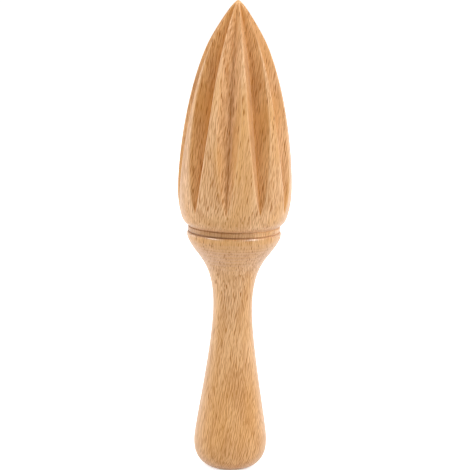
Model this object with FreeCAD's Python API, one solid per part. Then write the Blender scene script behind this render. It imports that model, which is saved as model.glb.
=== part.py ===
import FreeCAD, Part
import math
import os

# Hand citrus reamer, turned from one piece of beech
#
# Millimetres. The turning axis is Z, the foot stands on Z = 0 and the tip is up.
# The front of the reamer, as photographed, faces -Y.
# Each height below is measured from the turned feature that it names.

# Grip
FOOT_RADIUS = 7.0             # flat that the reamer stands on
FOOT_ANGLE = 74.0             # slope at which the round of the grip leaves that flat
GRIP_RADIUS = 13.3            # widest ring of the grip
GRIP_RISE = 10.0              # that ring above the foot
WAIST_RADIUS = 7.1            # slimmest ring of the grip
WAIST_RISE = 59.5             # that ring above the foot

# Collar, the bead that stops the fingers
HANDLE_LENGTH = 86.7          # foot to the widest ring of the collar
COLLAR_RADIUS = 16.95
COLLAR_UNDER_ROUND = 4.6      # radius of the bead below its widest ring
COLLAR_TOP_ROUND = 0.9        # radius of the bead above its widest ring
COLLAR_TOP_TURN = 50.0        # how far that round turns in before it meets the groove
FLARE_ANGLE = 25.0            # slope at which the flare runs into the bead

# Groove between collar and head
REED_WIDTH = 2.0              # slim raised ring on the floor of the groove
REED_DROP = 0.35              # its crown inside the widest ring of the collar
QUIRK_DEPTH = 0.45            # fine V cuts on both sides of the reed
QUIRK_FLANK = 0.35            # height of the reed's bevelled edges

# Head
HEAD_RADIUS = 20.42           # widest ring of the head
HEAD_LENGTH = 80.4            # groove to the tip
BELLY_RISE = 13.2             # widest ring above the groove
UNDERSIDE_ANGLE = 64.0        # slope at which the head leaves the groove
TIP_HALF_ANGLE = 47.8
TIP_ROUND = 0.9

# Flutes, cut along the head by a V-shaped tool that runs out above the groove
FLUTE_COUNT = 10
FLUTE_HALF_ANGLE = 45.0       # each face of the V from the plane through the axis
FLUTE_PHASE = -8.5            # first flute from the front, towards +X
FLUTE_RUNOUT_RISE = 5.8       # pointed lower end of a flute above the groove
FLUTE_LEAN_ANGLE = 10.9       # lower, straight part of a flute from the axis
FLUTE_BEND_RISE = 45.4        # start of the curved part above the groove
FLUTE_OVER_TIP = 1.5          # the flute lines meet on the axis above the tip

# Fullness of the two swellings, as shares of the largest round that their overhang allows
FOOT_FULLNESS = 0.97
UNDERSIDE_FULLNESS = 0.722

# Fullness of the turned curves, as shares of the height that each curve spans
GRIP_FULLNESS = 0.10
WAIST_FULLNESS_BELOW = 0.295
WAIST_FULLNESS_ABOVE = 0.672
FLARE_FULLNESS = 0.296
BELLY_FULLNESS = 0.246
TIP_FULLNESS = 0.309

# Places that follow from the sizes above
GROOVE_BOTTOM = HANDLE_LENGTH + COLLAR_TOP_ROUND
GROOVE_TOP = GROOVE_BOTTOM + REED_WIDTH
BELLY_HEIGHT = GROOVE_TOP + BELLY_RISE
TIP_HEIGHT = GROOVE_TOP + HEAD_LENGTH
REED_RADIUS = COLLAR_RADIUS - REED_DROP
QUIRK_RADIUS = REED_RADIUS - QUIRK_DEPTH

AXIS_FOOT = FreeCAD.Vector(0, 0, 0)
AXIS_UP = FreeCAD.Vector(0, 0, 1)


def profile_point(radius, height):
    """A point of the turned profile, which is drawn in the XZ plane."""
    return FreeCAD.Vector(radius, 0, height)


def heading(angle):
    """Unit step that leans away from the axis by an angle in degrees."""
    lean = math.radians(angle)
    return profile_point(math.sin(lean), math.cos(lean))


def straight(start, end):
    return Part.LineSegment(start, end).toShape()


def arc(start, middle, end):
    return Part.Arc(start, middle, end).toShape()


def flowing_curve(start, start_step, end, end_step):
    """Cubic curve that leaves start along start_step and arrives at end along end_step."""
    curve = Part.BezierCurve()
    curve.setPoles([start, start + start_step, end - end_step, end])
    return curve


def split_curve(curve, count):
    """The curve as a few edges end to end, which keeps the facets of its surface few."""
    return [Part.Edge(curve, step / count, (step + 1) / count) for step in range(count)]


def swelling_edges(start, angle, roundness, widest):
    """Two arcs that swell from start, where they lean by an angle, to a widest ring.

    The second arc is upright at the widest ring, and its radius is the one with
    which it meets the first arc smoothly.
    """
    step = heading(angle)
    first_round = roundness * (widest.x - start.x) / (1 - step.z)
    inward = profile_point(-step.z, step.x)
    first_centre = start + inward * first_round
    offset = first_centre - widest
    second_round = (first_round ** 2 - offset.Length ** 2) / (2 * (offset.x + first_round))
    second_centre = widest - profile_point(second_round, 0)
    outward = profile_point(1, 0)
    to_joint = (first_centre - second_centre).normalize()
    joint = first_centre + to_joint * first_round
    first_middle = first_centre + (to_joint - inward).normalize() * first_round
    second_middle = second_centre + (to_joint + outward).normalize() * second_round
    return [arc(start, first_middle, joint), arc(joint, second_middle, widest)]


def foot_edges():
    """Flat foot and the round of the grip's end, upright at the widest ring."""
    rim = profile_point(FOOT_RADIUS, 0)
    widest = profile_point(GRIP_RADIUS, GRIP_RISE)
    return [straight(AXIS_FOOT, rim)] + swelling_edges(rim, FOOT_ANGLE, FOOT_FULLNESS, widest)


def grip_edges():
    """Long taper from the widest ring of the grip to the waist."""
    span = WAIST_RISE - GRIP_RISE
    taper = flowing_curve(
        profile_point(GRIP_RADIUS, GRIP_RISE),
        AXIS_UP * (GRIP_FULLNESS * span),
        profile_point(WAIST_RADIUS, WAIST_RISE),
        AXIS_UP * (WAIST_FULLNESS_BELOW * span),
    )
    return split_curve(taper, 2)


def collar_under_point(angle):
    """Point on the lower round of the bead, where it leans by an angle in degrees."""
    turn = math.radians(angle)
    return profile_point(
        COLLAR_RADIUS - COLLAR_UNDER_ROUND * (1 - math.cos(turn)),
        HANDLE_LENGTH - COLLAR_UNDER_ROUND * math.sin(turn),
    )


def collar_top_point(angle):
    """Point on the upper round of the bead, after it has turned in by an angle in degrees."""
    turn = math.radians(angle)
    return profile_point(
        COLLAR_RADIUS - COLLAR_TOP_ROUND * (1 - math.cos(turn)),
        HANDLE_LENGTH + COLLAR_TOP_ROUND * math.sin(turn),
    )


def collar_edges():
    """Flare from the waist into the bead, and the bead over its widest ring."""
    bead_start = collar_under_point(FLARE_ANGLE)
    span = bead_start.z - WAIST_RISE
    flare = flowing_curve(
        profile_point(WAIST_RADIUS, WAIST_RISE),
        AXIS_UP * (WAIST_FULLNESS_ABOVE * span),
        bead_start,
        heading(FLARE_ANGLE) * (FLARE_FULLNESS * span),
    )
    widest = profile_point(COLLAR_RADIUS, HANDLE_LENGTH)
    under = arc(bead_start, collar_under_point(FLARE_ANGLE / 2), widest)
    shoulder = collar_top_point(COLLAR_TOP_TURN)
    over = arc(widest, collar_top_point(COLLAR_TOP_TURN / 2), shoulder)
    flank = straight(shoulder, profile_point(QUIRK_RADIUS, GROOVE_BOTTOM))
    return split_curve(flare, 3) + [under, over, flank]


def reed_edges():
    """Slim raised ring with bevelled edges, between the two fine cuts of the groove."""
    low_cut = profile_point(QUIRK_RADIUS, GROOVE_BOTTOM)
    low_edge = profile_point(REED_RADIUS, GROOVE_BOTTOM + QUIRK_FLANK)
    high_edge = profile_point(REED_RADIUS, GROOVE_TOP - QUIRK_FLANK)
    high_cut = profile_point(QUIRK_RADIUS, GROOVE_TOP)
    return [straight(low_cut, low_edge), straight(low_edge, high_edge), straight(high_edge, high_cut)]


def underside_edges():
    """Head from the groove out to its widest ring."""
    start = profile_point(QUIRK_RADIUS, GROOVE_TOP)
    widest = profile_point(HEAD_RADIUS, BELLY_HEIGHT)
    return swelling_edges(start, UNDERSIDE_ANGLE, UNDERSIDE_FULLNESS, widest)


def tip_point(angle):
    """Point on the round of the tip, where its surface leans by an angle in degrees."""
    slope = math.radians(angle)
    return profile_point(
        TIP_ROUND * math.cos(slope),
        TIP_HEIGHT - TIP_ROUND + TIP_ROUND * math.sin(slope),
    )


def arch_curve():
    """Head from its widest ring up to the round of the tip."""
    tip_start = tip_point(TIP_HALF_ANGLE)
    span = tip_start.z - BELLY_HEIGHT
    return flowing_curve(
        profile_point(HEAD_RADIUS, BELLY_HEIGHT),
        AXIS_UP * (BELLY_FULLNESS * span),
        tip_start,
        heading(-TIP_HALF_ANGLE) * (TIP_FULLNESS * span),
    )


def head_edges():
    """Underside, pointed arch and rounded tip of the head."""
    half_way = (TIP_HALF_ANGLE + 90) / 2
    tip_round = arc(tip_point(TIP_HALF_ANGLE), tip_point(half_way), profile_point(0, TIP_HEIGHT))
    return underside_edges() + split_curve(arch_curve(), 3) + [tip_round]


def turned_blank():
    """The reamer as it leaves the lathe, before the flutes are cut."""
    edges = foot_edges() + grip_edges() + collar_edges() + reed_edges() + head_edges()
    edges.append(straight(profile_point(0, TIP_HEIGHT), AXIS_FOOT))
    face = Part.Face(Part.Wire(edges))
    return face.revolve(AXIS_FOOT, AXIS_UP, 360)


def runout_radius():
    """Radius of the head at the height where the flutes run out."""
    level = GROOVE_TOP + FLUTE_RUNOUT_RISE
    ray = straight(profile_point(0, level), profile_point(2 * HEAD_RADIUS, level))
    outline = Part.Wire(underside_edges() + [arch_curve().toShape()])
    nearest = ray.distToShape(outline)[1]
    return nearest[0][1].x


def flute_tool():
    """Solid that one flute takes out of the head, at the azimuth of +X.

    The bottom line of the flute climbs straight from its run-out, then bends over
    on an arc that reaches the axis a little above the tip.
    """
    up_flute = heading(-FLUTE_LEAN_ANGLE)
    outward = profile_point(up_flute.z, -up_flute.x)
    runout = profile_point(runout_radius(), GROOVE_TOP + FLUTE_RUNOUT_RISE)
    climb = (FLUTE_BEND_RISE - FLUTE_RUNOUT_RISE) / up_flute.z
    bend = runout + up_flute * climb
    meeting = profile_point(0, TIP_HEIGHT + FLUTE_OVER_TIP)
    chord = meeting - bend
    off_line = chord.getAngle(up_flute)
    bend_radius = chord.Length / (2 * math.sin(off_line))
    bend_centre = bend - outward * bend_radius

    reach = HEAD_RADIUS
    half_width = reach * math.tan(math.radians(FLUTE_HALF_ANGLE))
    sideways = FreeCAD.Vector(0, half_width, 0)
    corners = [bend, bend + outward * reach + sideways, bend + outward * reach - sideways, bend]
    section = Part.Face(Part.makePolygon(corners))

    straight_part = section.extrude(up_flute * -(climb + HEAD_RADIUS))
    turn = math.degrees(2 * off_line)
    curved_part = section.revolve(bend_centre, FreeCAD.Vector(0, -1, 0), turn)
    return straight_part.fuse(curved_part)


def fluted_reamer():
    """The finished reamer."""
    tool = flute_tool()
    front = -90.0
    tools = []
    for index in range(FLUTE_COUNT):
        azimuth = front + FLUTE_PHASE + index * 360.0 / FLUTE_COUNT
        turned = tool.copy()
        turned.rotate(AXIS_FOOT, AXIS_UP, azimuth)
        tools.append(turned)
    return turned_blank().cut(tools)


def main():
    os.makedirs("parts", exist_ok=True)
    reamer = fluted_reamer()
    reamer = reamer.Solids[0]
    reamer.exportStep("parts/reamer.step")
    box = reamer.optimalBoundingBox(False, False)
    print("reamer: height %.2f mm, widest %.2f mm, volume %.0f mm3, valid %s" % (
        box.ZLength, max(box.XLength, box.YLength), reamer.Volume, reamer.isValid()))


main()
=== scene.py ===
"""Looks of a turned beech citrus reamer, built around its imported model.

Sizes of the reamer and of its wood are in millimetres and angles in degrees, and
what goes to the scene is in metres. The turning axis is Z, the foot stands on
Z = 0, and the photographed front faces -Y.
"""

import logging
import math
from dataclasses import astuple, dataclass, field
from enum import Enum

import bpy
import numpy as np
from mathutils import Matrix, Vector


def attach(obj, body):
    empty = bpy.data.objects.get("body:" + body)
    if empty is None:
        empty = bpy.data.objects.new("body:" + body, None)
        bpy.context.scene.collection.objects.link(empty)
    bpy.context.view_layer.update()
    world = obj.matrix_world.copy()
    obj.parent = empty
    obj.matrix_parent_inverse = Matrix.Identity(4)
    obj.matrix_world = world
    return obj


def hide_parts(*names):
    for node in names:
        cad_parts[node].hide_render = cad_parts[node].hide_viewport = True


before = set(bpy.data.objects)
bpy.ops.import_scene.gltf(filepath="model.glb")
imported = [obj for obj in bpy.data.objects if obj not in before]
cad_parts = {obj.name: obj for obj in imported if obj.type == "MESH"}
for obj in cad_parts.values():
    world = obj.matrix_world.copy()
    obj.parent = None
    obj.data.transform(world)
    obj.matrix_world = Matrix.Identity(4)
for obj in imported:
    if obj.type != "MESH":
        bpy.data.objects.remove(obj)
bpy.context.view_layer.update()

log = logging.getLogger("reamer")

Socket = bpy.types.NodeSocket
Point = tuple[float, float]
Size = tuple[float, float, float]
Colour = tuple[float, float, float, float]

MM = 0.001
WHITE: Colour = (1.0, 1.0, 1.0, 1.0)
SIDEWAYS: Size = (1.0, 0.0, 0.0)
UPWARD: Size = (0.0, 0.0, 1.0)

# angle of the photographed front, which faces -Y
FRONT = -90.0

# where the sub-assemblies meet
WAIST_RADIUS = 7.1
WAIST_HEIGHT = 59.5
QUIRK_RADIUS = 16.15
GROOVE_TOP = 89.6

# fineness of the outline before its mesh rows are spaced
STRAIGHT_POINTS = 60
ARC_POINTS = 200
CURVE_POINTS = 800
SANDING_STEP = 0.02
SANDING_REACH = 4

# searches by halving: where they start outside the flutes, and how often they halve
FAR_OUT = 60.0
SURFACE_HALVINGS = 34
EDGE_HALVINGS = 30


def colour(red: float, green: float, blue: float) -> Colour:
    """Turns a colour as seen on a screen into the linear values that shaders take.

    Args:
        red: Red, from 0 to 255.
        green: Green, from 0 to 255.
        blue: Blue, from 0 to 255.

    Returns:
        Linear red, green, blue and an alpha of 1.
    """
    shares = [value / 255 for value in (red, green, blue)]
    linear = [s / 12.92 if s <= 0.04045 else ((s + 0.055) / 1.055) ** 2.4 for s in shares]
    return (*linear, 1.0)


# ---------------------------------------------------------------- turned outline


@dataclass(frozen=True)
class Stretch:
    """A run of the turned outline, as radius and height, with its mesh row spacing."""

    points: np.ndarray
    row: float


def straight(start: Point, end: Point) -> np.ndarray:
    """Points along a straight run.

    Args:
        start: Radius and height of its start.
        end: Radius and height of its end.

    Returns:
        The points, one per row.
    """
    share = np.linspace(0, 1, STRAIGHT_POINTS)[:, None]
    return (1 - share) * np.array(start) + share * np.array(end)


def arc(centre: Point, radius: float, first: float, last: float) -> np.ndarray:
    """Points along an arc.

    Args:
        centre: Radius and height of its centre.
        radius: Radius of the arc.
        first: Angle of its start above the horizontal.
        last: Angle of its end above the horizontal.

    Returns:
        The points, one per row.
    """
    turn = np.radians(np.linspace(first, last, ARC_POINTS))
    return np.column_stack([centre[0] + radius * np.cos(turn), centre[1] + radius * np.sin(turn)])


def flowing(start: Point, start_step: Point, end: Point, end_step: Point) -> np.ndarray:
    """Points along a cubic curve.

    Args:
        start: Radius and height of its start.
        start_step: Step with which it leaves the start.
        end: Radius and height of its end.
        end_step: Step with which it arrives at the end.

    Returns:
        The points, one per row.
    """
    share = np.linspace(0, 1, CURVE_POINTS)[:, None]
    poles = [np.array(start), np.add(start, start_step), np.subtract(end, end_step), np.array(end)]
    weights = [
        (1 - share) ** 3,
        3 * share * (1 - share) ** 2,
        3 * share**2 * (1 - share),
        share**3,
    ]
    return sum(weight * pole for weight, pole in zip(weights, poles))


def heading(angle: float, length: float) -> Point:
    """A step of that length that leans away from the axis by an angle."""
    return length * math.sin(math.radians(angle)), length * math.cos(math.radians(angle))


def swelling(start: Point, angle: float, roundness: float, widest: Point) -> np.ndarray:
    """Points along two arcs that swell smoothly to a widest ring, upright there.

    Args:
        start: Radius and height of the start.
        angle: How far the first arc leans away from the axis at its start.
        roundness: Radius of the first arc, as a share of the largest that fits.
        widest: Radius and height of the widest ring.

    Returns:
        The points, one per row.
    """
    sine, cosine = heading(angle, 1)
    first_round = roundness * (widest[0] - start[0]) / (1 - cosine)
    first_centre = (start[0] - cosine * first_round, start[1] + sine * first_round)
    out, up = first_centre[0] - widest[0], first_centre[1] - widest[1]
    second_round = (first_round**2 - out**2 - up**2) / (2 * (out + first_round))
    second_centre = (widest[0] - second_round, widest[1])
    joint = math.degrees(math.atan2(up, first_centre[0] - second_centre[0]))
    first = arc(first_centre, first_round, -angle, joint)
    return np.vstack([first, arc(second_centre, second_round, joint, 0)[1:]])


@dataclass(frozen=True)
class Grip:
    """Handle from its flat foot, over the swelling, to the slim waist."""

    foot_radius: float = 7.0
    foot_angle: float = 74.0
    foot_roundness: float = 0.97
    swell_radius: float = 13.3
    swell_height: float = 10.0
    waist_radius: float = WAIST_RADIUS
    waist_height: float = WAIST_HEIGHT
    swell_fullness: float = 0.10
    waist_fullness: float = 0.295
    edge_width: float = 0.6

    # spacing of the mesh rows
    foot_row: float = 1.4
    edge_row: float = 0.12
    end_row: float = 0.6
    taper_row: float = 1.4

    def outline(self) -> list[Stretch]:
        """Outline of the grip, from the axis at the foot up to the waist.

        Returns:
            Its stretches, in order.
        """
        span = self.waist_height - self.swell_height
        swell = (self.swell_radius, self.swell_height)
        waist = (self.waist_radius, self.waist_height)
        leaving, arriving = (0, self.swell_fullness * span), (0, self.waist_fullness * span)
        taper = flowing(swell, leaving, waist, arriving)
        end = swelling((self.foot_radius, 0), self.foot_angle, self.foot_roundness, swell)
        edge_start = (self.foot_radius - self.edge_width, 0)
        return [
            Stretch(straight((0, 0), edge_start), self.foot_row),
            Stretch(straight(edge_start, (self.foot_radius, 0)), self.edge_row),
            Stretch(end, self.end_row),
            Stretch(taper, self.taper_row),
        ]


@dataclass(frozen=True)
class Collar:
    """Flare above the waist, the bead that stops the fingers, and the groove on it."""

    waist_radius: float = WAIST_RADIUS
    waist_height: float = WAIST_HEIGHT
    bead_radius: float = 16.95
    bead_height: float = 86.7
    under_round: float = 4.6
    top_round: float = 0.9
    top_turn: float = 50.0
    flare_angle: float = 25.0
    waist_fullness: float = 0.672
    flare_fullness: float = 0.296
    reed_radius: float = 16.6
    quirk_radius: float = QUIRK_RADIUS
    quirk_flank: float = 0.35
    groove_bottom: float = 87.6
    groove_top: float = GROOVE_TOP

    # spacing of the mesh rows
    flare_row: float = 0.7
    under_row: float = 0.2
    over_row: float = 0.1
    groove_row: float = 0.11

    def outline(self) -> list[Stretch]:
        """Outline from the waist to the upper edge of the groove.

        Returns:
            Its stretches, in order.
        """
        under_centre = (self.bead_radius - self.under_round, self.bead_height)
        under = arc(under_centre, self.under_round, -self.flare_angle, 0)
        span = under[0, 1] - self.waist_height
        flare = flowing(
            (self.waist_radius, self.waist_height),
            (0, self.waist_fullness * span),
            tuple(under[0]),
            heading(self.flare_angle, self.flare_fullness * span),
        )
        over_centre = (self.bead_radius - self.top_round, self.bead_height)
        over = arc(over_centre, self.top_round, 0, self.top_turn)
        corners = [
            tuple(over[-1]),
            (self.quirk_radius, self.groove_bottom),
            (self.reed_radius, self.groove_bottom + self.quirk_flank),
            (self.reed_radius, self.groove_top - self.quirk_flank),
            (self.quirk_radius, self.groove_top),
        ]
        groove = [straight(start, end) for start, end in zip(corners, corners[1:])]
        return [
            Stretch(flare, self.flare_row),
            Stretch(under, self.under_row),
            Stretch(over, self.over_row),
            *(Stretch(run, self.groove_row) for run in groove),
        ]


@dataclass(frozen=True)
class Head:
    """Turned shape of the head: underside, belly, pointed arch and rounded tip."""

    start_radius: float = QUIRK_RADIUS
    start_height: float = GROOVE_TOP
    underside_angle: float = 64.0
    underside_roundness: float = 0.722
    belly_radius: float = 20.42
    belly_height: float = 102.8
    tip_height: float = 170.0
    tip_round: float = 0.9
    tip_half_angle: float = 47.8
    belly_fullness: float = 0.246
    tip_fullness: float = 0.309

    # spacing of the mesh rows, which stand closer from the fine height up
    fine_height: float = 160.0
    underside_row: float = 0.38
    lower_row: float = 0.75
    upper_row: float = 0.34
    tip_row: float = 0.09

    def outline(self) -> list[Stretch]:
        """Outline of the head from the groove up to the axis at the tip.

        Returns:
            Its stretches, in order.
        """
        belly = (self.belly_radius, self.belly_height)
        start = (self.start_radius, self.start_height)
        underside = swelling(start, self.underside_angle, self.underside_roundness, belly)
        tip = arc((0, self.tip_height - self.tip_round), self.tip_round, self.tip_half_angle, 90)
        span = tip[0, 1] - self.belly_height
        arch = flowing(
            belly,
            (0, self.belly_fullness * span),
            tuple(tip[0]),
            heading(-self.tip_half_angle, self.tip_fullness * span),
        )
        fine = arch[:, 1] >= self.fine_height
        lower, upper = arch[~fine], arch[fine]
        return [
            Stretch(underside, self.underside_row),
            Stretch(lower, self.lower_row),
            Stretch(np.vstack([lower[-1:], upper]), self.upper_row),
            Stretch(tip, self.tip_row),
        ]


def sanded_rows(stretches: list[Stretch], sanding: float) -> np.ndarray:
    """Joins the stretches, rounds their corners a little, and spaces the mesh rows.

    Args:
        stretches: The outline in order, from axis to axis.
        sanding: How far the sandpaper rounds a corner.

    Returns:
        Radius and height of each mesh row, with the axis points at both ends.
    """
    marks = [0.0]
    for stretch in stretches:
        marks.append(marks[-1] + np.hypot(*np.diff(stretch.points, axis=0).T).sum())
    points = np.vstack([stretch.points for stretch in stretches])
    travel = np.concatenate([[0], np.cumsum(np.hypot(*np.diff(points, axis=0).T))])
    even = np.arange(0, travel[-1], SANDING_STEP)
    reach = int(SANDING_REACH * sanding / SANDING_STEP)
    kernel = np.exp(-0.5 * (np.arange(-reach, reach + 1) * SANDING_STEP / sanding) ** 2)
    kernel /= kernel.sum()
    smooth = []
    for column, mirrored in ((0, "odd"), (1, "even")):
        run = np.interp(even, travel, points[:, column])
        padded = np.pad(run, reach, mode="reflect", reflect_type=mirrored)
        smooth.append(np.convolve(padded, kernel, mode="valid"))
    places = [0.0]
    for start, end, stretch in zip(marks, marks[1:], stretches):
        count = max(1, math.ceil((end - start) / stretch.row))
        places.extend(start + (end - start) * (i + 1) / count for i in range(count))
    rows = np.column_stack([np.interp(places, even, run) for run in smooth])
    rows[0] = (0, points[0, 1])
    rows[-1] = (0, smooth[1][-1])
    return rows


# ------------------------------------------------------------------------ flutes


@dataclass(frozen=True)
class Flutes:
    """Ten V cuts along the head, whose bottom lines meet above the tip.

    Each bottom line climbs straight from its run-out and then bends over on an arc
    that reaches the axis. The faces of the V stand at half_angle from the plane
    through the axis, and the sharp edges and the V bottoms are lightly sanded.
    """

    runout_radius: float
    count: int = 10
    half_angle: float = 45.0
    phase: float = -8.5
    lean: float = 10.9
    runout_height: float = 95.4
    bend_height: float = 135.0
    meeting_height: float = 171.5
    bottom_round: float = 0.09
    edge_round: float = 0.11

    def depth(self, radius: np.ndarray, height: np.ndarray) -> np.ndarray:
        """How far points of the plane through a flute lie outside its bottom line.

        Args:
            radius: Distance of the points from the axis.
            height: Height of the points.

        Returns:
            The distances, negative inside the line.
        """
        sine, cosine = heading(self.lean, 1)
        climb = (self.bend_height - self.runout_height) / cosine
        bend_radius = self.runout_radius - climb * sine
        chord = np.array([-bend_radius, self.meeting_height - self.bend_height])
        length = np.hypot(*chord)
        off_line = math.acos(float(chord @ np.array([-sine, cosine])) / length)
        sweep = length / (2 * math.sin(off_line))
        centre = (bend_radius - sweep * cosine, self.bend_height - sweep * sine)
        line = (radius - self.runout_radius) * cosine + (height - self.runout_height) * sine
        curve = np.hypot(radius - centre[0], height - centre[1]) - sweep
        along = (height - self.bend_height) * cosine - (radius - bend_radius) * sine
        return np.where(along < 0, line, curve)

    def surface(self, off: np.ndarray, height: np.ndarray) -> np.ndarray:
        """Radius at which the V of one flute is met.

        Args:
            off: Angles off the plane of the flute, in radians.
            height: Heights of the points.

        Returns:
            The radii.
        """
        slope = math.tan(math.radians(self.half_angle))
        low = np.zeros(np.broadcast(off, height).shape)
        high = np.full_like(low, FAR_OUT)
        for _ in range(SURFACE_HALVINGS):
            middle = (low + high) / 2
            side = np.hypot(middle * np.sin(off), self.bottom_round) - self.bottom_round
            kept = side > slope * self.depth(middle * np.cos(off), height)
            low = np.where(kept, middle, low)
            high = np.where(kept, high, middle)
        return low

    def half_width(self, radius: np.ndarray, height: np.ndarray) -> np.ndarray:
        """Angle from the middle of a flute to its edge on the turned surface.

        Args:
            radius: Turned radius of each row.
            height: Height of each row.

        Returns:
            The angles in radians, at most half of a flute's share of the turn.
        """
        slope = math.tan(math.radians(self.half_angle))
        low = np.zeros_like(radius)
        high = np.full_like(radius, math.pi / self.count)
        for _ in range(EDGE_HALVINGS):
            middle = (low + high) / 2
            cut = radius * np.sin(middle) < slope * self.depth(radius * np.cos(middle), height)
            low = np.where(cut, middle, low)
            high = np.where(cut, high, middle)
        return low


# -------------------------------------------------------------------------- wood


@dataclass(frozen=True)
class Step:
    """A smooth step of a number: where it starts and ends, and what its ends become."""

    low: float
    high: float
    first: float = 0.0
    last: float = 1.0


@dataclass(frozen=True)
class Zone:
    """A zone of a number, by the steps that lead into it and out of it."""

    rise: Step
    fall: Step


NOISE_MIDDLE: Size = (0.5, 0.5, 0.5)

# sockets of the group that makes the marks, and the shape of a mark in its cell
MARK_SIDES = ("Width", "Depth", "Length")
MARK_POINTEDNESS = 1.35
MARK_BODY = Step(1.0, 0.55)

# sockets of the Mix node, where names repeat: share, first and second
MIX_COLOUR_INPUTS = (0, 6, 7)
MIX_COLOUR_OUTPUT = 2
MIX_NUMBER_INPUTS = (0, 2, 3)


@dataclass(frozen=True)
class Mark:
    """A mark in the wood: its size, the share of its cell that it fills, and its seed."""

    size: Size
    reach: float
    seed: float


class Figure(Enum):
    """Marks of beech, sized across the ray, along the ray and with the grain."""

    RAY_FLECK = Mark((0.60, 1.7, 6.8), 0.37, 3.1)
    FINE_FLECK = Mark((0.46, 1.2, 4.8), 0.37, 11.7)
    PORE = Mark((0.26, 0.30, 1.7), 0.42, 23.9)


@dataclass(frozen=True)
class SteamedBeech:
    """Fine sanded steamed beech with a thin satin oil, what the tools left on it, and painted
    sheen, highlight and shade.
    """

    name: str = "steamed_beech"
    light: Colour = colour(231, 186, 138)
    dark: Colour = colour(186, 132, 78)
    golden: Colour = colour(214, 159, 92)
    heart_tint: Colour = (0.92, 0.85, 0.70, 1.0)
    wall_tint: Colour = (0.90, 0.78, 0.55, 1.0)
    fleck: Colour = colour(150, 88, 6)
    fine_fleck: Colour = colour(166, 106, 26)
    chalk: Colour = colour(208, 166, 134)
    # painted sheen: a pale colour for where the surface turns away from the eye
    painted_sheen: Colour = colour(222, 182, 148)
    end_grain: Colour = colour(196, 142, 96)
    # painted highlight together with edge wear on the sanded edges
    ridge_wear_and_highlight: Colour = colour(242, 200, 152)
    # painted shade along the V bottoms, with some darker residue from the cut
    valley: Colour = colour(172, 106, 8)
    # brown of the groove band, burn together with painted shade, also used for the scored rings on
    # the neck
    burn_and_shade: Colour = colour(128, 84, 52)

    # how the piece lies in the tree, how the grain wanders and the marks crowd
    # together, and which faces cut the tree along its rays
    pith: Size = (-6.0, 62.0, 0.0)
    grain_lean: float = 6.0
    grain_tilt: float = -3.0
    wander_size: float = 42.0
    wander: Size = (3.5, 3.0, 0.0)
    crowding: Step = Step(-20.0, 30.0, 1.5, 1.3)
    ray_faces: Step = Step(0.78, 0.94)
    ray_face_flecks: Step = Step(0.0, 1.0, 1.0, 0.7)

    # growth rings, fibres and slow changes: their sizes, and their part in the tone
    ring_width: float = 2.7
    ring_drift_size: Size = (16.0, 16.0, 64.0)
    ring_drift: tuple[float, float] = (1.6, 0.5)
    ring: Zone = Zone(Step(0.0, 0.8), Step(1.0, 0.86))
    ring_tone: float = 0.26
    fibre_size: Size = (0.34, 1.3, 3.6)
    fibre_shift: Size = (1.05, 0.0, 0.0)
    fibre_tone: Step = Step(-0.20, 0.32, -0.05, 1.0)
    strand_size: Size = (1.3, 4.0, 18.0)
    strand_tone: Step = Step(0.30, 0.70, -0.10, 0.10)
    cloud_size: Size = (5.0, 5.0, 26.0)
    cloud_tone: Step = Step(0.30, 0.70, -0.15, 0.15)

    # golden patches, and the browner wood low on the front of the grip
    warm_size: Size = (9.0, 7.0, 30.0)
    warm: Step = Step(0.40, 0.66)
    warm_level: Step = Step(60.0, 110.0, 0.3, 0.6)
    heart: Step = Step(69.0, 74.0)
    heart_level: Step = Step(62.0, 36.0)

    # what the gouge left between the waist and the bead
    neck: Zone = Zone(Step(72.0, 79.0), Step(86.0, 83.0))
    scoring: Size = (0.01, 0.01, 1.3)
    chalk_rings: Step = Step(0.42, 0.60, 0.1, 0.75)
    scored_rings: Step = Step(0.46, 0.36, 0.0, 0.22)
    under_bead: Zone = Zone(Step(80.0, 85.0), Step(87.0, 86.2))
    under_bead_strength: float = 0.35

    # strength of the marks, the painted rim sheen, the end grain, the ridges' wear and painted
    # highlight, the V bottoms' painted shade and the groove's burn and painted shade
    fine_strength: float = 1.3
    fleck_level: Step = Step(40.0, 90.0, 1.0, 1.3)
    pore_strength: float = 0.22
    painted_sheen_facing: Step = Step(0.30, 0.85, 0.0, 0.35)
    end_faces: Step = Step(0.45, 1.0, 0.0, 0.6)
    ridge_wear_and_highlight_strength: float = 0.65
    valley_strength: float = 0.6
    burn_and_shade_strength: float = 0.75

    # gloss, and relief of the marks and fibres
    roughness: Step = Step(0.0, 1.4, 0.40, 0.52)
    polish_coat: float = 0.7
    gloss: tuple[tuple[str, float], ...] = (
        ("Coat IOR", 1.9),
        ("Coat Roughness", 0.16),
        ("Specular IOR Level", 0.36),
        ("Sheen Weight", 0.20),
        ("Sheen Roughness", 0.4),
    )
    fleck_depth: float = 0.3
    fine_depth: float = 0.2
    pore_depth: float = 0.5
    fibre_rise: float = 0.5
    relief: float = 0.03
    relief_strength: float = 0.5


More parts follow.
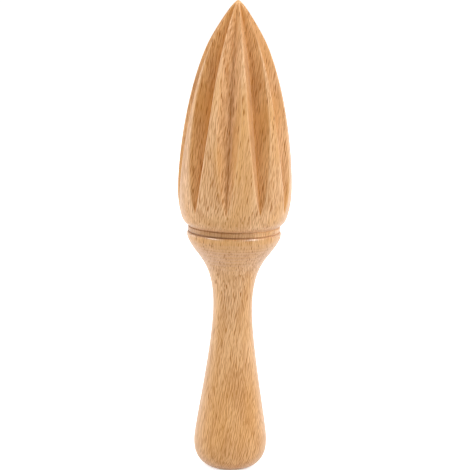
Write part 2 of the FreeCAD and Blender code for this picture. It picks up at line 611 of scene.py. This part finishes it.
class Graph:
    """Short-hand for adding and linking the nodes of one tree."""

    def __init__(self, tree: bpy.types.NodeTree) -> None:
        """Keeps the tree that nodes go into."""
        self.tree = tree

    def node(self, kind: str, **settings: object) -> bpy.types.Node:
        """Adds a node.

        Args:
            kind: Its type, without the word ShaderNode.
            settings: Its own settings by name.

        Returns:
            The new node.
        """
        made = self.tree.nodes.new("ShaderNode" + kind)
        for name, value in settings.items():
            setattr(made, name, value)
        return made

    def feed(self, socket: Socket, value: object) -> None:
        """Links an output to a socket, or sets the socket to a value.

        Args:
            socket: The input.
            value: The output, number, vector or colour that it gets.
        """
        if isinstance(value, Socket):
            self.tree.links.new(value, socket)
        else:
            socket.default_value = value

    def parts(self, vector: Socket) -> tuple[Socket, Socket, Socket]:
        """Takes a vector apart.

        Args:
            vector: The vector.

        Returns:
            Its three numbers.
        """
        made = self.node("SeparateXYZ")
        self.feed(made.inputs[0], vector)
        return made.outputs[0], made.outputs[1], made.outputs[2]

    def joined(self, *numbers: Socket) -> Socket:
        """Makes a vector of three numbers.

        Args:
            numbers: The numbers.

        Returns:
            The vector.
        """
        made = self.node("CombineXYZ")
        for socket, number in zip(made.inputs, numbers):
            self.feed(socket, number)
        return made.outputs[0]

    def math(self, operation: str, *values: object, clamp: bool = False) -> Socket:
        """Works out a number.

        Args:
            operation: Name of the sum.
            values: Numbers or outputs that go in.
            clamp: Whether the result stays between 0 and 1.

        Returns:
            The output.
        """
        made = self.node("Math", operation=operation, use_clamp=clamp)
        for socket, value in zip(made.inputs, values):
            self.feed(socket, value)
        return made.outputs[0]

    def vector(self, operation: str, first: object, second: object = None) -> Socket:
        """Works out a vector, or a number from vectors.

        Args:
            operation: Name of the sum.
            first: The vector that it starts from.
            second: The other vector, or the number that scales the first.

        Returns:
            The output.
        """
        made = self.node("VectorMath", operation=operation)
        self.feed(made.inputs[0], first)
        if operation == "SCALE":
            self.feed(made.inputs["Scale"], second)
        elif second is not None:
            self.feed(made.inputs[1], second)
        return made.outputs["Value" if operation in ("DOT_PRODUCT", "LENGTH") else "Vector"]

    def spread(self, value: Socket, step: Step) -> Socket:
        """Maps a number smoothly from one range to another.

        Args:
            value: The number.
            step: The range, and what its ends become.

        Returns:
            The mapped number.
        """
        made = self.node("MapRange", interpolation_type="SMOOTHSTEP")
        for name, number in zip(("From Min", "From Max", "To Min", "To Max"), astuple(step)):
            made.inputs[name].default_value = number
        self.feed(made.inputs["Value"], value)
        return made.outputs["Result"]

    def zone(self, value: Socket, zone: Zone) -> Socket:
        """1 where a number is inside a zone, and 0 outside."""
        return self.math("MULTIPLY", self.spread(value, zone.rise), self.spread(value, zone.fall))

    def facing(self, normal: Socket, way: Size) -> Socket:
        """How squarely a face lies across a direction, from 0 to 1."""
        return self.math("ABSOLUTE", self.vector("DOT_PRODUCT", normal, way))

    def mix(self, share: object, first: object, second: object, way: str = "MIX") -> Socket:
        """Mixes two colours.

        Args:
            share: Share of the second.
            first: The first colour.
            second: The second colour.
            way: How they mix.

        Returns:
            The mixed colour.
        """
        made = self.node("Mix", data_type="RGBA", clamp_factor=True, blend_type=way)
        for place, value in zip(MIX_COLOUR_INPUTS, (share, first, second)):
            self.feed(made.inputs[place], value)
        return made.outputs[MIX_COLOUR_OUTPUT]

    def between(self, share: Socket, first: Socket, second: Socket) -> Socket:
        """Moves from one number to another.

        Args:
            share: Share of the second.
            first: The first number.
            second: The second number.

        Returns:
            The number between them.
        """
        made = self.node("Mix", data_type="FLOAT", clamp_factor=True)
        for place, value in zip(MIX_NUMBER_INPUTS, (share, first, second)):
            self.feed(made.inputs[place], value)
        return made.outputs[0]

    def noise(self, place: Socket, detail: float, fineness: float = 1.0) -> bpy.types.Node:
        """Adds cloudy noise from 0 to 1.

        Args:
            place: Where it is read.
            detail: How many finer layers it has.
            fineness: How often it changes.

        Returns:
            The node.
        """
        made = self.node("TexNoise", noise_dimensions="3D")
        self.feed(made.inputs["Vector"], place)
        made.inputs["Scale"].default_value = fineness
        made.inputs["Detail"].default_value = detail
        return made

    def patches(self, place: Socket, size: Size, detail: float) -> Socket:
        """Cloudy noise from 0 to 1 in stretched patches.

        Args:
            place: Where it is read, in millimetres.
            size: Size of a patch, in millimetres.
            detail: How many finer layers it has.

        Returns:
            The noise.
        """
        stretched = self.vector("MULTIPLY", place, tuple(1 / side for side in size))
        return self.noise(stretched, detail).outputs["Fac"]


def new_group(
    name: str, inputs: dict[str, str], outputs: dict[str, str]
) -> tuple[bpy.types.NodeTree, Graph, bpy.types.Node, bpy.types.Node]:
    """Starts a shader node group.

    Args:
        name: Its name.
        inputs: Kind of each input by name.
        outputs: Kind of each output by name.

    Returns:
        The group, its graph, its input node and its output node.
    """
    tree = bpy.data.node_groups.new(name, "ShaderNodeTree")
    for way, sockets in (("INPUT", inputs), ("OUTPUT", outputs)):
        for socket, kind in sockets.items():
            tree.interface.new_socket(name=socket, in_out=way, socket_type="NodeSocket" + kind)
    graph = Graph(tree)
    return tree, graph, tree.nodes.new("NodeGroupInput"), tree.nodes.new("NodeGroupOutput")


def marks_group() -> bpy.types.NodeTree:
    """Spindle-shaped marks that lie along the grain, each of its own strength.

    Returns:
        The group, which puts out a mask from 0 to 1.
    """
    inputs = {"Grain Place": "Vector", **dict.fromkeys((*MARK_SIDES, "Reach", "Seed"), "Float")}
    tree, graph, taken, given = new_group("wood_marks", inputs, {"Mask": "Float"})
    cell = graph.joined(*(taken.outputs[side] for side in MARK_SIDES))
    seed = taken.outputs["Seed"]
    place = graph.vector("DIVIDE", taken.outputs["Grain Place"], cell)
    place = graph.vector("ADD", place, graph.joined(seed, seed, seed))
    cells = graph.node("TexVoronoi", voronoi_dimensions="3D", feature="F1", distance="MINKOWSKI")
    graph.feed(cells.inputs["Vector"], place)
    cells.inputs["Scale"].default_value = 1.0
    cells.inputs["Exponent"].default_value = MARK_POINTEDNESS
    strength = graph.node("SeparateColor")
    graph.feed(strength.inputs[0], cells.outputs["Color"])
    near = graph.math("DIVIDE", cells.outputs["Distance"], taken.outputs["Reach"])
    body = graph.spread(near, MARK_BODY)
    graph.feed(given.inputs["Mask"], graph.math("MULTIPLY", body, strength.outputs[0]))
    return tree


@dataclass(frozen=True)
class Grain:
    """What the wood shows at a point: its fibres, and the masks of its marks."""

    fibre: Socket
    flecks: Socket
    fine: Socket
    pores: Socket


class WoodMaterial:
    """The procedural material of a finish of solid wood."""

    def __init__(self, finish: SteamedBeech) -> None:
        """Starts the material, and finds the place in the tree.

        Args:
            finish: The finish that it shows.
        """
        self.finish = finish
        self.material = bpy.data.materials.new(finish.name)
        self.material.use_nodes = True
        self.material.node_tree.nodes.clear()
        self.graph = Graph(self.material.node_tree)
        self.marks = marks_group()
        self.plain = self.graph.vector(
            "SCALE", self.graph.node("TexCoord").outputs["Object"], 1 / MM
        )
        self.level = self.graph.parts(self.plain)[2]
        self.round_pith, self.out, self.along = self.grain_place()
        self.place = self.graph.joined(self.round_pith, self.out, self.along)
        self.normal = self.graph.node("NewGeometry").outputs["Normal"]

    def grain_place(self) -> tuple[Socket, Socket, Socket]:
        """Place in the tree, in millimetres, for a grain that leans and wanders.

        Returns:
            The place round the pith, out from it, and along the grain.
        """
        graph, finish = self.graph, self.finish
        fineness = 1 / finish.wander_size
        wander = graph.noise(self.plain, detail=1.0, fineness=fineness).outputs["Color"]
        wander = graph.vector("SUBTRACT", wander, NOISE_MIDDLE)
        wander = graph.vector("MULTIPLY", wander, finish.wander)
        turned = graph.node("Mapping", vector_type="TEXTURE")
        graph.feed(turned.inputs["Vector"], graph.vector("ADD", self.plain, wander))
        turned.inputs["Location"].default_value = finish.pith
        tilt, lean = math.radians(finish.grain_tilt), math.radians(finish.grain_lean)
        turned.inputs["Rotation"].default_value = (tilt, lean, 0)
        across, back, along = graph.parts(turned.outputs[0])
        front = graph.math("MULTIPLY", back, -1.0)
        across = graph.math("MULTIPLY", across, graph.spread(along, finish.crowding))
        angle = graph.math("ARCTAN2", across, front)
        squares = (graph.math("POWER", side, 2.0) for side in (across, front))
        out = graph.math("SQRT", graph.math("ADD", *squares))
        return graph.math("MULTIPLY", angle, finish.pith[1]), out, along

    def mask(self, place: Socket, mark: Mark) -> Socket:
        """Places the marks group with the sizes of one mark.

        Args:
            place: Place in the tree.
            mark: The mark.

        Returns:
            Its mask.
        """
        made = self.graph.node("Group")
        made.node_tree = self.marks
        self.graph.feed(made.inputs["Grain Place"], place)
        for name, value in zip(MARK_SIDES, mark.size):
            made.inputs[name].default_value = value
        made.inputs["Reach"].default_value = mark.reach
        made.inputs["Seed"].default_value = mark.seed
        return made.outputs["Mask"]

    def cut(self, place: Socket) -> list[Socket]:
        """Fibres and marks as a face that lies across the first axis shows them.

        Args:
            place: Place in the tree.

        Returns:
            The fibres, from below to above 0, and the masks of the flecks, the fine
            flecks and the pores.
        """
        graph, finish = self.graph, self.finish
        here = graph.vector("MULTIPLY", place, tuple(1 / side for side in finish.fibre_size))
        beside = graph.vector("ADD", here, finish.fibre_shift)
        fibres = (graph.noise(spot, detail=1.0).outputs["Fac"] for spot in (here, beside))
        fibre = graph.math("SUBTRACT", *fibres)
        return [fibre, *(self.mask(place, figure.value) for figure in Figure)]

    def grain(self) -> Grain:
        """Fibres and marks on all faces, weaker where a face lies along the rays.

        Returns:
            The fibres, and the masks of the marks.
        """
        graph, finish = self.graph, self.finish
        radial = graph.joined(self.out, self.round_pith, self.along)
        sideways = graph.spread(graph.facing(self.normal, SIDEWAYS), finish.ray_faces)
        cuts = zip(self.cut(self.place), self.cut(radial))
        fibre, flecks, fine, pores = (graph.between(sideways, flat, side) for flat, side in cuts)
        shown = graph.spread(sideways, finish.ray_face_flecks)
        return Grain(fibre, graph.math("MULTIPLY", flecks, shown), fine, pores)

    def tone(self, grain: Grain) -> Socket:
        """How dark the wood is, from its growth rings, fibres and slow changes.

        Args:
            grain: The fibres.

        Returns:
            The tone, from 0 to 1.
        """
        graph, finish = self.graph, self.finish
        # each ring grows darker outwards and then starts pale again
        drift = graph.patches(self.place, finish.ring_drift_size, detail=3.0)
        ring = graph.math("DIVIDE", self.out, finish.ring_width)
        ring = graph.math("ADD", ring, graph.math("MULTIPLY_ADD", drift, *finish.ring_drift))
        ring = graph.zone(graph.math("FRACT", ring), finish.ring)
        strand = graph.patches(self.place, finish.strand_size, detail=2.0)
        cloud = graph.patches(self.place, finish.cloud_size, detail=2.0)
        tone = graph.math("MULTIPLY", ring, finish.ring_tone)
        tone = graph.math("ADD", tone, graph.spread(grain.fibre, finish.fibre_tone))
        tone = graph.math("ADD", tone, graph.spread(strand, finish.strand_tone))
        return graph.math("ADD", tone, graph.spread(cloud, finish.cloud_tone), clamp=True)

    def bare(self, tone: Socket) -> Socket:
        """Colour of the wood before its marks, with its patches and its V walls.

        Args:
            tone: How dark the wood is.

        Returns:
            The colour.
        """
        graph, finish = self.graph, self.finish
        surface = graph.mix(tone, finish.light, finish.dark)
        warm = graph.patches(self.place, finish.warm_size, detail=1.0)
        warm = graph.spread(warm, finish.warm)
        warm = graph.math("MULTIPLY", warm, graph.spread(self.level, finish.warm_level))
        surface = graph.mix(warm, surface, finish.golden)
        heart = graph.spread(self.out, finish.heart)
        heart = graph.math("MULTIPLY", heart, graph.spread(self.level, finish.heart_level))
        surface = graph.mix(heart, surface, finish.heart_tint, "MULTIPLY")
        return graph.mix(self.attribute("wall"), surface, finish.wall_tint, "MULTIPLY")

    def necked(self, surface: Socket) -> Socket:
        """Adds what the gouge left on the collar: chalky and scored rings, a golden zone.

        Args:
            surface: The colour so far.

        Returns:
            The colour with it.
        """
        graph, finish = self.graph, self.finish
        neck = graph.zone(self.level, finish.neck)
        stretched = graph.vector("MULTIPLY", self.plain, finish.scoring)
        rings = graph.noise(stretched, detail=1.0).outputs["Fac"]
        chalk = graph.math("MULTIPLY", neck, graph.spread(rings, finish.chalk_rings))
        surface = graph.mix(chalk, surface, finish.chalk)
        scored = graph.math("MULTIPLY", neck, graph.spread(rings, finish.scored_rings))
        surface = graph.mix(scored, surface, finish.burn_and_shade)
        golden = graph.zone(self.level, finish.under_bead)
        golden = graph.math("MULTIPLY", golden, finish.under_bead_strength)
        return graph.mix(golden, surface, finish.golden)

    def marked(self, surface: Socket, grain: Grain) -> Socket:
        """Adds the flecks and the pores.

        Args:
            surface: The colour so far.
            grain: Their masks.

        Returns:
            The colour with them.
        """
        graph, finish = self.graph, self.finish
        fine = graph.math("MULTIPLY", grain.fine, finish.fine_strength, clamp=True)
        surface = graph.mix(fine, surface, finish.fine_fleck)
        bold = graph.spread(self.level, finish.fleck_level)
        flecks = graph.math("MULTIPLY", grain.flecks, bold, clamp=True)
        surface = graph.mix(flecks, surface, finish.fleck)
        pores = graph.math("MULTIPLY", grain.pores, finish.pore_strength)
        return graph.mix(pores, surface, finish.fleck)

    def worn_and_painted_light(self, surface: Socket) -> Socket:
        """Adds painted sheen at the rims, the end grain, painted highlight and wear on the edges,
        painted shade in the V bottoms, and the groove's burn and painted shade.

        Args:
            surface: The colour so far.

        Returns:
            The colour with them.
        """
        graph, finish = self.graph, self.finish
        # painted sheen: a pale colour mixed into the base colour where the surface turns away from
        # the eye, kept off the V walls
        facing = graph.node("LayerWeight").outputs["Facing"]
        outside = graph.math("SUBTRACT", 1.0, self.attribute("wall"), clamp=True)
        painted_sheen = graph.math("MULTIPLY", graph.spread(facing, finish.painted_sheen_facing), outside)
        surface = graph.mix(painted_sheen, surface, finish.painted_sheen)
        end = graph.spread(graph.facing(self.normal, UPWARD), finish.end_faces)
        surface = graph.mix(end, surface, finish.end_grain)
        # painted highlight with wear on the edges, painted shade in the V bottoms, and burn with
        # painted shade in the groove
        for name, strength, shade in (
            ("ridge_wear_and_highlight", finish.ridge_wear_and_highlight_strength, finish.ridge_wear_and_highlight),
            ("valley", finish.valley_strength, finish.valley),
            ("burn_and_shade", finish.burn_and_shade_strength, finish.burn_and_shade),
        ):
            share = graph.math("MULTIPLY", self.attribute(name), strength)
            surface = graph.mix(share, surface, shade)
        return surface

    def relief(self, grain: Grain) -> Socket:
        """Fine relief of the marks, which lie low, and of the fibres, which stand up.

        Args:
            grain: The fibres, and the masks of the marks.

        Returns:
            The normal.
        """
        graph, finish = self.graph, self.finish
        height = graph.math("MULTIPLY", grain.flecks, -finish.fleck_depth)
        for mask, depth in ((grain.fine, finish.fine_depth), (grain.pores, finish.pore_depth)):
            height = graph.math("SUBTRACT", height, graph.math("MULTIPLY", mask, depth))
        height = graph.math("ADD", height, graph.math("MULTIPLY", grain.fibre, finish.fibre_rise))
        bump = graph.node("Bump")
        bump.inputs["Strength"].default_value = finish.relief_strength
        bump.inputs["Distance"].default_value = finish.relief * MM
        graph.feed(bump.inputs["Height"], height)
        return bump.outputs[0]

    def attribute(self, name: str) -> Socket:
        """Reads a mask that the mesh carries."""
        made = self.graph.node("Attribute", attribute_type="GEOMETRY", attribute_name=name)
        return made.outputs["Fac"]

    def build(self) -> bpy.types.Material:
        """Makes the material.

        Returns:
            The material.
        """
        graph, finish = self.graph, self.finish
        grain = self.grain()
        tone = self.tone(grain)
        surface = self.worn_and_painted_light(self.marked(self.necked(self.bare(tone)), grain))
        shader = graph.node("BsdfPrincipled")
        graph.feed(shader.inputs["Base Color"], surface)
        rough = graph.spread(graph.math("ADD", grain.flecks, tone), finish.roughness)
        graph.feed(shader.inputs["Roughness"], rough)
        polish = graph.math("MULTIPLY", self.attribute("polish"), finish.polish_coat)
        graph.feed(shader.inputs["Coat Weight"], polish)
        for name, value in finish.gloss:
            shader.inputs[name].default_value = value
        graph.feed(shader.inputs["Normal"], self.relief(grain))
        graph.feed(graph.node("OutputMaterial").inputs["Surface"], shader.outputs[0])
        return self.material


# ------------------------------------------------------------------------ reamer


@dataclass(frozen=True)
class Ring:
    """A ring round the piece, as a mask by height: its place, sharpness and strength."""

    height: float
    half_width: float
    sharpness: int
    strength: float = 1.0

    def mask(self, level: np.ndarray) -> np.ndarray:
        """Strength of the ring at each height."""
        off = (level - self.height) / self.half_width
        return self.strength * np.exp(-(off**self.sharpness))


@dataclass
class Reamer:
    """The one-piece reamer: a turned blank with flutes cut along its head."""

    grip: Grip = field(default_factory=Grip)
    collar: Collar = field(default_factory=Collar)
    head: Head = field(default_factory=Head)
    finish: SteamedBeech = field(default_factory=SteamedBeech)
    sanding: float = 0.07
    least_sanding: float = 1e-5
    sanding_share: float = 0.25

    # mesh columns across half a flute and half a land, and the least width of both
    groove_columns: tuple[float, ...] = (0.0, 0.03, 0.10, 0.25, 0.45, 0.65, 0.81, 0.91, 0.97)
    land_columns: tuple[float, ...] = (0.0, 0.05, 0.13, 0.27, 0.50, 0.75, 1.0)
    least_groove: float = 0.3
    least_groove_share: float = 0.3
    least_land: float = 0.22
    least_land_share: float = 0.4
    core_radius: float = 1.0

    # how deep and wide the painted shade of the V bottoms and the walls show, how the painted
    # shade fades towards the tip, and how golden the walls of each flute are
    valley_cut: float = 0.8
    valley_width: float = 0.17
    valley_levels: tuple[float, float] = (128.0, 152.0)
    valley_fade: tuple[float, float] = (1.0, 0.25)
    wall_cut: float = 0.6
    flute_tones: tuple[float, ...] = (0.1, 0.75, 0.2, 0.5, 0.2, 0.7, 0.3, 0.5, 0.4, 0.9)

    # darkening of the groove, burn together with painted shade and stronger on one side; painted
    # light on the groove's upper edge on the other side; and polish on the bead
    darker_side: float = -152.0
    darkening_middle: float = 0.2
    darkening_swing: float = 1.2
    dark_groove_band: Ring = Ring(88.6, 1.2, 6, 0.6)
    dark_quirk_line: Ring = Ring(87.5, 0.4, 2, 0.5)
    painted_light_quirk: Ring = Ring(89.6, 0.3, 2)
    polished_bead: Ring = Ring(87.05, 0.3, 4)
    polish_gaps: int = 8

    def columns(self, half_width: np.ndarray, radius: np.ndarray, share: float) -> np.ndarray:
        """Angles of the mesh columns across one half of a flute and of its land.

        Args:
            half_width: Angle from the middle of the flute to its edge, for each row.
            radius: Turned radius of each row.
            share: Half of a flute's share of the turn.

        Returns:
            The angles, a line of them for each row.
        """
        reach = np.maximum(radius, self.core_radius)
        slimmest = np.minimum(self.least_groove / reach, self.least_groove_share * share)
        land = np.minimum(self.least_land / reach, self.least_land_share * share)
        edge = np.clip(half_width, slimmest, share - land)[:, None]
        groove = edge * np.array(self.groove_columns)
        outside = edge + (share - edge) * np.array(self.land_columns)
        return np.hstack([groove, outside])

    def fluted(
        self, flutes: Flutes, radius: np.ndarray, height: np.ndarray, sector: np.ndarray
    ) -> tuple[np.ndarray, dict[str, np.ndarray]]:
        """Cuts one flute's share of the turn.

        Args:
            flutes: The flutes.
            radius: Turned radius of each row.
            height: Height of each row.
            sector: Angles of the columns off the flute's middle, a line for each row.

        Returns:
            The radii, and the masks of the edges, the V bottoms and the V walls.
        """
        tall = np.broadcast_to(height[:, None], sector.shape)
        turned = np.broadcast_to(radius[:, None], sector.shape)
        own = flutes.surface(sector, tall)
        next_one = flutes.surface(2 * math.pi / flutes.count - np.abs(sector), tall)
        nearest = np.minimum(np.minimum(turned, own), next_one)
        edge = flutes.edge_round
        # a smooth least of the three surfaces rounds the edges where they meet
        meeting = (np.exp((nearest - each) / edge) for each in (turned, own, next_one))
        drop = edge * np.log(sum(meeting))
        drop = np.where(drop < self.least_sanding, 0, drop)
        drop = np.minimum(drop, self.sanding_share * nearest)
        final = nearest - drop
        side = np.abs(final * np.sin(sector))
        bottom = flutes.surface(np.zeros_like(height), height)
        cut = np.clip((radius - bottom) / self.valley_cut, 0, 1)
        fade = np.interp(height, self.valley_levels, self.valley_fade)
        # ridge: painted highlight with wear where the edges are rounded; valley: painted shade
        # along the V bottoms
        masks = {
            "ridge_wear_and_highlight": np.clip(drop / (edge * math.log(2)), 0, 1),
            "valley": cut[:, None] * np.exp(-((side / self.valley_width) ** 2)) * fade[:, None],
            "wall": np.clip((turned - final) / self.wall_cut, 0, 1),
        }
        return final, masks

    def finish_masks(
        self, masks: dict[str, np.ndarray], angle: np.ndarray, level: np.ndarray
    ) -> dict[str, np.ndarray]:
        """Repeats the masks of one flute round the piece, and adds the groove's burn and painted
        shade, the painted light on its upper edge, and the polish on the bead.

        Args:
            masks: Masks of one flute's share of the turn.
            angle: Angle of each point.
            level: Height of each point.

        Returns:
            The masks of the whole piece.
        """
        repeats = (1, len(self.flute_tones))
        # the groove band darkens with burn and painted shade, more on one side; on the other side
        # painted light pales the groove's upper edge through the ridge mask
        off = angle - math.radians(self.darker_side)
        darker_share = np.clip(self.darkening_middle + self.darkening_swing * np.cos(off), 0, 1)
        burn_and_shade = (self.dark_groove_band.mask(level) + self.dark_quirk_line.mask(level)) * darker_share
        quirk_painted_light = self.painted_light_quirk.mask(level) * (1 - darker_share)
        gaps = 0.5 - 0.5 * np.cos(self.polish_gaps * angle)
        return {
            "ridge_wear_and_highlight": np.maximum(np.tile(masks["ridge_wear_and_highlight"], repeats), quirk_painted_light),
            "valley": np.tile(masks["valley"], repeats),
            "wall": np.hstack([tone * masks["wall"] for tone in self.flute_tones]),
            "burn_and_shade": burn_and_shade,
            "polish": self.polished_bead.mask(level) * gaps,
        }

    def mesh(self, body: np.ndarray, ends: np.ndarray) -> bpy.types.Mesh:
        """Meshes the rows and columns, closed by a point on the axis at either end.

        Args:
            body: Place of each point by row and column, in millimetres.
            ends: Heights of the two points on the axis.

        Returns:
            The mesh.
        """
        count, wide = body.shape[:2]
        poles = np.array([[0, 0, end] for end in ends])
        points = np.vstack([body.reshape(-1, 3), poles]) * MM
        here = np.arange(count * wide).reshape(count, wide)
        beside = np.roll(here, -1, axis=1)
        quads = np.stack([here[:-1], beside[:-1], beside[1:], here[1:]], axis=-1).reshape(-1, 4)
        low, high = count * wide, count * wide + 1
        faces = quads.tolist()
        faces += [[low, int(b), int(a)] for a, b in zip(here[0], beside[0])]
        faces += [[high, int(a), int(b)] for a, b in zip(here[-1], beside[-1])]
        mesh = bpy.data.meshes.new("reamer_wood")
        mesh.from_pydata(points.tolist(), [], faces)
        log.info("reamer_wood: %d rows, %d columns, %d faces", count, wide, len(faces))
        return mesh

    def build(self) -> bpy.types.Object:
        """Makes the piece, with masks for its edges, V cuts, the groove's burn and painted shade,
        painted light and polish.

        Returns:
            The piece.
        """
        outline = self.grip.outline() + self.collar.outline() + self.head.outline()
        rows = sanded_rows(outline, self.sanding)
        on_head = rows[:, 1] > self.head.start_height
        flutes = Flutes(float(np.interp(Flutes.runout_height, rows[on_head, 1], rows[on_head, 0])))
        radius, height = rows[1:-1].T
        half_width = flutes.half_width(radius, height)
        half = self.columns(half_width, radius, math.pi / flutes.count)
        sector = np.hstack([-half[:, :0:-1], half[:, :-1]])
        final, masks = self.fluted(flutes, radius, height, sector)
        turns = np.arange(flutes.count) * 360 / flutes.count
        starts = np.radians(flutes.phase + FRONT + turns)
        angle = np.hstack([start + sector for start in starts])
        final = np.tile(final, (1, flutes.count))
        level = np.broadcast_to(height[:, None], angle.shape)
        body = np.stack([final * np.cos(angle), final * np.sin(angle), level], axis=-1)
        mesh = self.mesh(body, rows[[0, -1], 1])
        for name, mask in self.finish_masks(masks, angle, level).items():
            values = np.append(mask.reshape(-1), [0, 0]).astype(np.float32)
            mesh.attributes.new(name, "FLOAT", "POINT").data.foreach_set("value", values)
        mesh.shade_smooth()
        mesh.update()
        piece = bpy.data.objects.new("reamer_wood", mesh)
        bpy.context.scene.collection.objects.link(piece)
        return piece

    def dress(self, piece: bpy.types.Object) -> None:
        """Gives the piece its wood, and its place in the frame.

        Args:
            piece: The mesh that build made.
        """
        piece.data.materials.append(WoodMaterial(self.finish).build())
        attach(piece, "root")
        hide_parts("reamer")
        log.info("reamer_wood: dressed in %s", self.finish.name)


# ------------------------------------------------------------------------ studio


@dataclass(frozen=True)
class Softbox:
    """A flat lamp that faces the reamer's middle, sized in metres."""

    name: str
    azimuth: float
    elevation: float
    power: float
    distance: float = 1.2
    width: float = 0.5
    height: float = 0.62

    def build(self, target: Vector) -> None:
        """Sets the lamp up.

        Args:
            target: What it faces.
        """
        data = bpy.data.lights.new(self.name, "AREA")
        data.shape = "RECTANGLE"
        data.size = self.width
        data.size_y = self.height
        data.energy = self.power
        lamp = bpy.data.objects.new(self.name, data)
        turn, lift = math.radians(self.azimuth), math.radians(self.elevation)
        ahead, beside = -math.cos(turn) * math.cos(lift), math.sin(turn) * math.cos(lift)
        back = Vector((beside, ahead, math.sin(lift)))
        lamp.location = target + back * self.distance
        lamp.rotation_mode = "QUATERNION"
        lamp.rotation_quaternion = back.to_track_quat("Z", "Y")
        bpy.context.scene.collection.objects.link(lamp)


@dataclass(frozen=True)
class Studio:
    """Pale floor, soft light from both sides, and the camera of the photograph."""

    ambient: float = 0.075
    floor_size: float = 40.0
    floor_shade: Colour = (0.82, 0.82, 0.82, 1.0)
    floor_glow: Step = Step(0.10, 0.42, 0.66, 1.0)
    aim_height: float = 85.745
    camera_distance: float = 650.0
    camera_elevation: float = 10.5
    sensor_width: float = 36.0
    camera_reach: float = 100.0
    focal_pixels: float = 1805.9
    frame_pixels: float = 470.0
    axis_pixel: tuple[float, float] = (233.96, 235.5)
    roll: float = 1.058
    softboxes: tuple[Softbox, ...] = (
        Softbox("left_side_softbox", -85.0, 40.0, 4.0),
        Softbox("left_front_softbox", -60.0, 40.0, 4.1),
        Softbox("left_low_softbox", -110.0, 8.0, 2.9),
        Softbox("right_front_softbox", 35.0, 24.0, 2.1),
        Softbox("right_side_softbox", 60.0, 40.0, 6.8),
        Softbox("right_rear_softbox", 110.0, 40.0, 5.4),
        Softbox("overhead_softbox", 0.0, 88.0, 5.8),
    )

    def camera(self) -> None:
        """Places the camera where the photograph was taken from."""
        data = bpy.data.cameras.new("camera")
        data.sensor_width = self.sensor_width
        data.lens = self.focal_pixels / self.frame_pixels * data.sensor_width
        data.shift_x = 0.5 - self.axis_pixel[0] / self.frame_pixels
        data.shift_y = self.axis_pixel[1] / self.frame_pixels - 0.5
        data.clip_end = self.camera_reach
        lift = math.radians(self.camera_elevation)
        back = Vector((0, -math.cos(lift), math.sin(lift)))
        camera = bpy.data.objects.new("camera", data)
        camera.location = (Vector((0, 0, self.aim_height)) + back * self.camera_distance) * MM
        facing = (-back).to_track_quat("-Z", "Y").to_matrix()
        rolled = facing @ Matrix.Rotation(math.radians(self.roll), 3, "Z")
        camera.rotation_euler = rolled.to_euler()
        bpy.context.scene.collection.objects.link(camera)
        bpy.context.scene.camera = camera

    def seen_directly(self, graph: Graph) -> Socket:
        """1 for rays from the camera, and for what is mirrored or seen through glass.

        Args:
            graph: Where it is used.

        Returns:
            The number.
        """
        path = graph.node("LightPath")
        seen = graph.math("MAXIMUM", path.outputs["Is Camera Ray"], path.outputs["Is Glossy Ray"])
        return graph.math("MAXIMUM", seen, path.outputs["Is Transmission Ray"])

    def world(self) -> None:
        """Even white light, with plain white where the world itself is seen."""
        world = bpy.data.worlds.new("white_room")
        world.use_nodes = True
        world.node_tree.nodes.clear()
        graph = Graph(world.node_tree)
        light = graph.node("Background")
        light.inputs["Color"].default_value = WHITE
        strength = graph.spread(self.seen_directly(graph), Step(0.0, 1.0, self.ambient, 1.0))
        graph.feed(light.inputs["Strength"], strength)
        graph.feed(graph.node("OutputWorld").inputs["Surface"], light.outputs[0])
        bpy.context.scene.world = world

    def floor(self) -> None:
        """Wide white floor that keeps the reamer's soft shadow."""
        half = self.floor_size / 2
        corners = [(-half, -half, 0), (half, -half, 0), (half, half, 0), (-half, half, 0)]
        mesh = bpy.data.meshes.new("floor")
        mesh.from_pydata(corners, [], [(0, 1, 2, 3)])
        floor = bpy.data.objects.new("floor", mesh)
        bpy.context.scene.collection.objects.link(floor)
        material = bpy.data.materials.new("white_floor")
        material.use_nodes = True
        material.node_tree.nodes.clear()
        graph = Graph(material.node_tree)
        diffuse = graph.node("BsdfDiffuse")
        diffuse.inputs["Color"].default_value = self.floor_shade
        away = graph.vector("LENGTH", graph.node("TexCoord").outputs["Object"])
        seen = self.seen_directly(graph)
        strength = graph.math("MULTIPLY", seen, graph.spread(away, self.floor_glow))
        glow = graph.node("Emission")
        graph.feed(glow.inputs["Strength"], strength)
        both = graph.node("AddShader")
        graph.feed(both.inputs[0], diffuse.outputs[0])
        graph.feed(both.inputs[1], glow.outputs[0])
        graph.feed(graph.node("OutputMaterial").inputs["Surface"], both.outputs[0])
        mesh.materials.append(material)

    def build(self) -> None:
        """Sets up the camera, the light and the floor."""
        self.camera()
        self.world()
        self.floor()
        target = Vector((0, 0, self.aim_height)) * MM
        for softbox in self.softboxes:
            softbox.build(target)
        bpy.context.scene.view_settings.view_transform = "Standard"
        log.info("studio: %d softboxes, floor and camera", len(self.softboxes))


def main() -> None:
    """Builds the studio and the reamer."""
    logging.basicConfig(level=logging.INFO, format="%(message)s")
    Studio().build()
    reamer = Reamer()
    piece = reamer.build()
    reamer.dress(piece)


if __name__ == "__main__":
    main()
